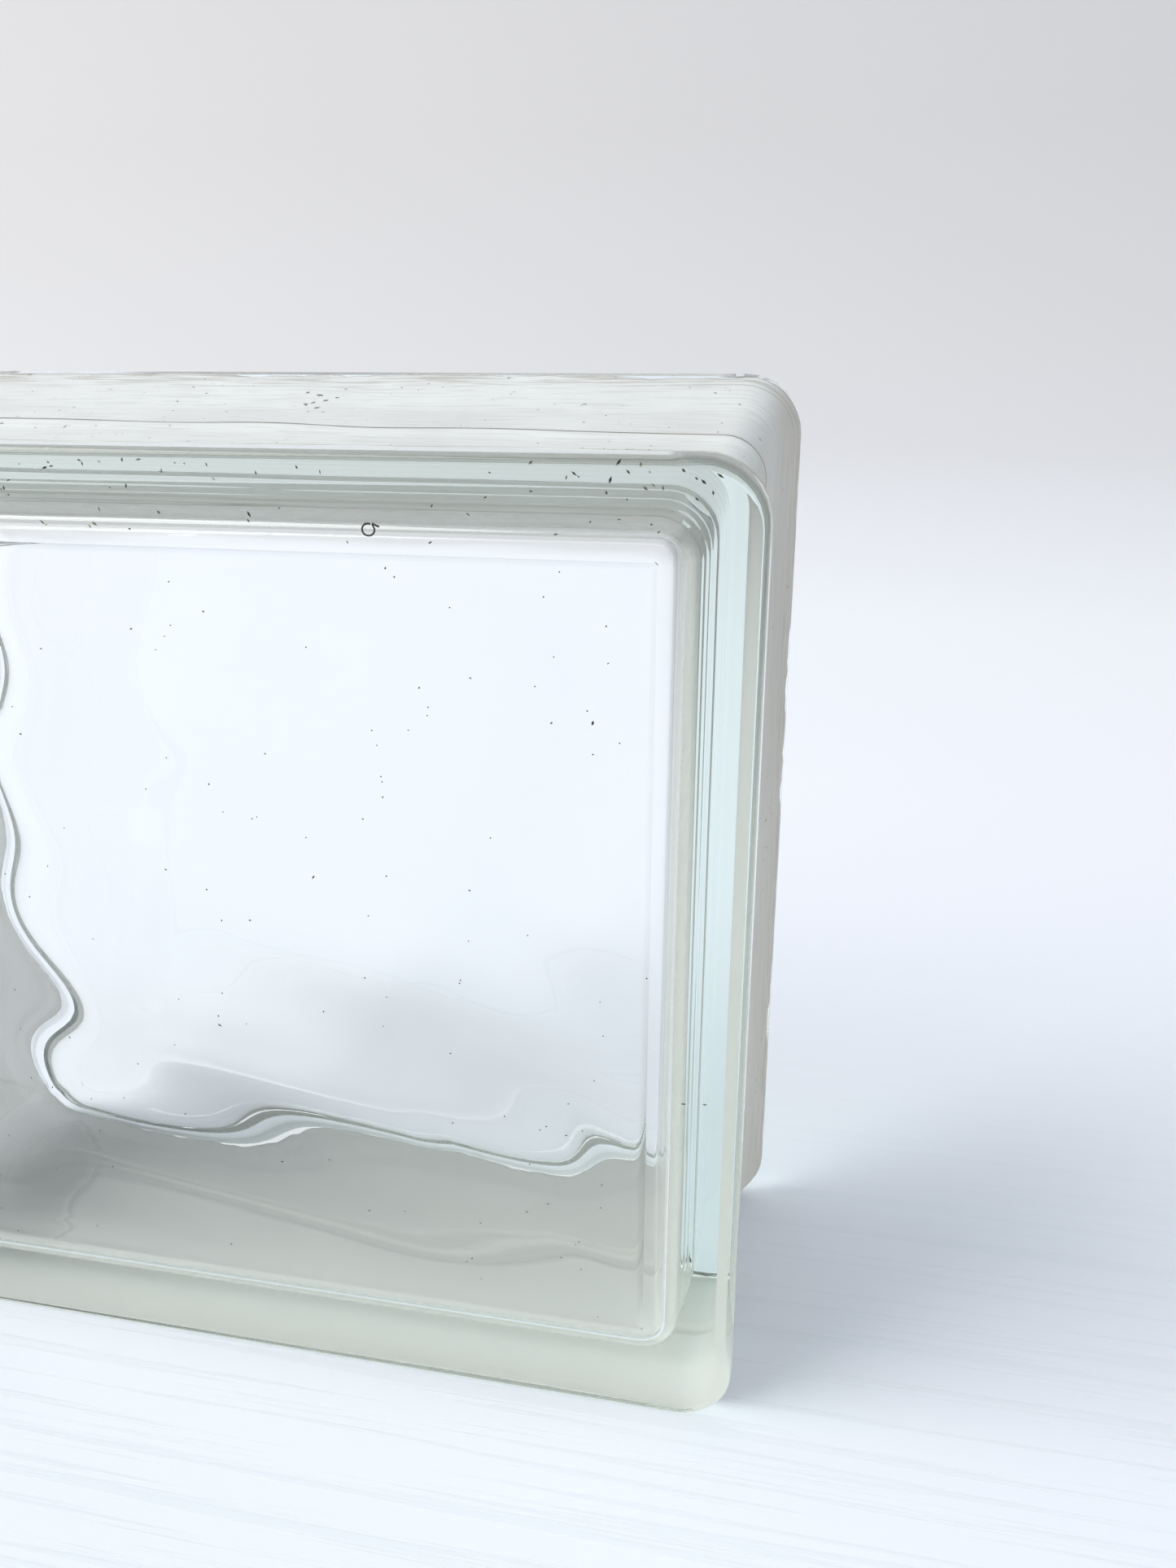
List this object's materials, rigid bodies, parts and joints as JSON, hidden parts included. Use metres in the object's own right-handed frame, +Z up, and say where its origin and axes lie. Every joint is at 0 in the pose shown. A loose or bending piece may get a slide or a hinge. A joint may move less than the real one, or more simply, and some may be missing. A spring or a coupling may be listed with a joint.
{
  "type": "glass block",
  "caption": "Square hollow glass block with wavy inner panes, clear flat faces and white-coated concave mortar edges, standing on its edge.",
  "frame": {"origin": "middle of the block's footprint, on the level floor it stands on", "axes": "+Z up along the block's height, +X along its width, +Y through its depth from the front pane to the back pane"},
  "size_m": [0.19, 0.08, 0.19],
  "materials": {
    "clear_glass": "smooth pressed soda-lime glass, faintly green, with soft waves on the inner side of both panes",
    "edge_paint": "matt off-white polymer edge coat, brushed on, scuffed and a little dirty"
  },
  "bodies": {
    "root": {"glass_block": "clear_glass", "edge_coat": "edge_paint"}
  },
  "joints": []
}
